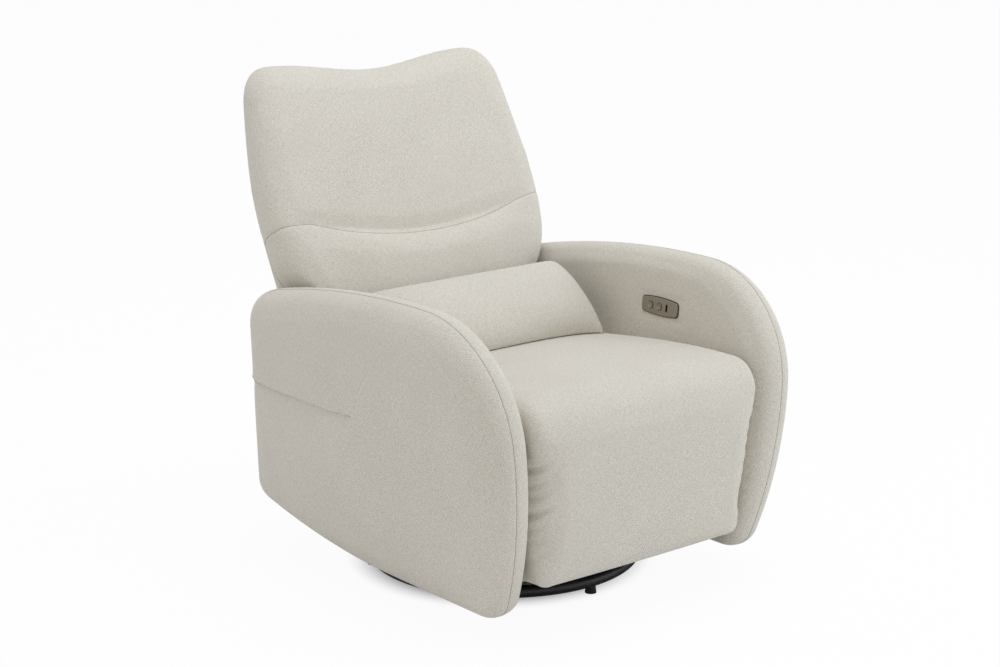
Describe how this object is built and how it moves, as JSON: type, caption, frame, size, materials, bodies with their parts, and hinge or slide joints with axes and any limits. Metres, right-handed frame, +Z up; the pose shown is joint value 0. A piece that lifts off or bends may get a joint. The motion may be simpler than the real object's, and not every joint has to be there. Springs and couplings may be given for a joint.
{
  "type": "swivel glider recliner chair",
  "caption": "Upholstered power swivel glider recliner with clamshell arms, a winged back, a loose lumbar pillow and a legrest that swings up from the seat front.",
  "frame": {"origin": "on the floor, under the middle of the chair's box", "axes": "+Z up, +X to the right of a viewer who faces the chair, front of the chair towards -Y"},
  "size_m": [0.84, 0.968, 1.0269],
  "materials": {
    "upholstery": "oatmeal linen-look weave",
    "hardwood": "plain sawn hardwood and plywood",
    "black_steel": "satin black powder coat",
    "zinc_steel": "zinc plated",
    "nylon": "natural nylon",
    "motor_plastic": "textured black moulding",
    "bronze_trim": "satin bronze taupe",
    "webbing": "elastic webbing",
    "rubber_foot": "matt rubber",
    "socket_plastic": "black moulding"
  },
  "bodies": {
    "base": {"base_ring": "black_steel", "base_spokes": "black_steel", "base_hub": "black_steel", "bearing_race": "zinc_steel", "bearing_ring": "nylon", "king_pin": "zinc_steel", "floor_feet": "rubber_foot"},
    "turntable": {"swivel_plate": "black_steel", "glide_cross_bars": "black_steel", "glide_stands": "black_steel", "upper_glide_pins": "zinc_steel"},
    "front_links": {"front_glide_links": "zinc_steel"},
    "rear_links": {"rear_glide_links": "zinc_steel"},
    "chassis": {"glide_hangers": "black_steel", "lower_glide_pins": "zinc_steel", "cross_tubes": "black_steel", "side_rails": "hardwood", "cross_rails": "hardwood", "seat_webbing": "webbing", "rear_panel": "upholstery", "power_inlet": "socket_plastic", "seat_cushion": "upholstery", "mech_plates": "black_steel", "mech_spacers": "zinc_steel", "mech_bolts": "zinc_steel", "legrest_pivots": "zinc_steel", "recline_pivots": "zinc_steel", "actuator_tube": "zinc_steel", "gear_motor": "motor_plastic", "actuator_mount": "black_steel", "arm_frame_right": "hardwood", "arm_frame_left": "hardwood", "arm_outer_pad_right": "upholstery", "arm_outer_pad_left": "upholstery", "arm_inner_pad_left": "upholstery", "arm_inner_pad_right": "upholstery", "arm_cleats": "hardwood", "arm_bolts": "zinc_steel", "control_bezel": "bronze_trim", "control_housing": "motor_plastic", "charging_socket": "socket_plastic"},
    "backrest": {"back_cover": "upholstery", "back_stiles": "hardwood", "bracket_bolts": "zinc_steel", "back_rails": "hardwood", "back_webbing": "webbing", "back_brackets": "black_steel", "back_lumbar_pad": "upholstery", "back_upper_pad": "upholstery"},
    "recline_link_pair": {"recline_links": "zinc_steel"},
    "legrest": {"legrest_pad": "upholstery", "legrest_board": "hardwood", "legrest_brackets": "black_steel", "legrest_torque_tube": "black_steel", "legrest_lever": "zinc_steel"},
    "actuator_slide": {"actuator_rod": "zinc_steel", "fork_pin": "zinc_steel"},
    "pillow": {"lumbar_pillow": "upholstery"},
    "open_button_body": {"open_button": "bronze_trim"},
    "close_button_body": {"close_button": "bronze_trim"}
  },
  "joints": [
    {"name": "swivel", "type": "hinge", "parent": "base", "child": "turntable", "pos_m": [0, -0.018, 0.05], "axis": [0, 0, 1], "continuous": true},
    {"name": "glide", "type": "hinge", "parent": "turntable", "child": "front_links", "pos_m": [0, -0.108, 0.225], "axis": [1, 0, 0], "range_deg": [-19, 19]},
    {"name": "glide_level", "type": "hinge", "parent": "front_links", "child": "chassis", "pos_m": [0, -0.108, 0.105], "axis": [1, 0, 0], "range_deg": [-19, 19]},
    {"name": "rear_glide", "type": "hinge", "parent": "turntable", "child": "rear_links", "pos_m": [0, 0.072, 0.225], "axis": [1, 0, 0], "range_deg": [-19, 19]},
    {"name": "recline", "type": "hinge", "parent": "chassis", "child": "backrest", "pos_m": [0, 0.24, 0.42], "axis": [-1, 0, 0], "range_deg": [0, 40]},
    {"name": "recline_link", "type": "hinge", "parent": "backrest", "child": "recline_link_pair", "pos_m": [0, 0.26736, 0.34482], "axis": [-1, 0, 0], "range_deg": [-40, 0]},
    {"name": "legrest", "type": "hinge", "parent": "chassis", "child": "legrest", "pos_m": [0, -0.433, 0.436], "axis": [-1, 0, 0], "range_deg": [0, 80]},
    {"name": "actuator", "type": "slide", "parent": "chassis", "child": "actuator_slide", "axis": [0, -1, 0], "range_m": [0, 0.13646]},
    {"name": "pillow_lift", "type": "slide", "parent": "backrest", "child": "pillow", "axis": [0, 0, 1], "range_m": [0, 0.12]},
    {"name": "open_press", "type": "slide", "parent": "chassis", "child": "open_button_body", "axis": [0.9962, 0, -0.0877], "range_m": [0, 0.0015], "stiffness_N_per_m": 400},
    {"name": "close_press", "type": "slide", "parent": "chassis", "child": "close_button_body", "axis": [0.9962, 0, -0.0877], "range_m": [0, 0.0015], "stiffness_N_per_m": 400}
  ],
  "couplings": [
    {"joint": "glide_level", "follows": "glide", "ratio": -1},
    {"joint": "rear_glide", "follows": "glide", "ratio": 1},
    {"joint": "recline_link", "follows": "recline", "ratio": -1},
    {"joint": "actuator", "follows": "legrest", "m_per_rad": 0.097732}
  ]
}
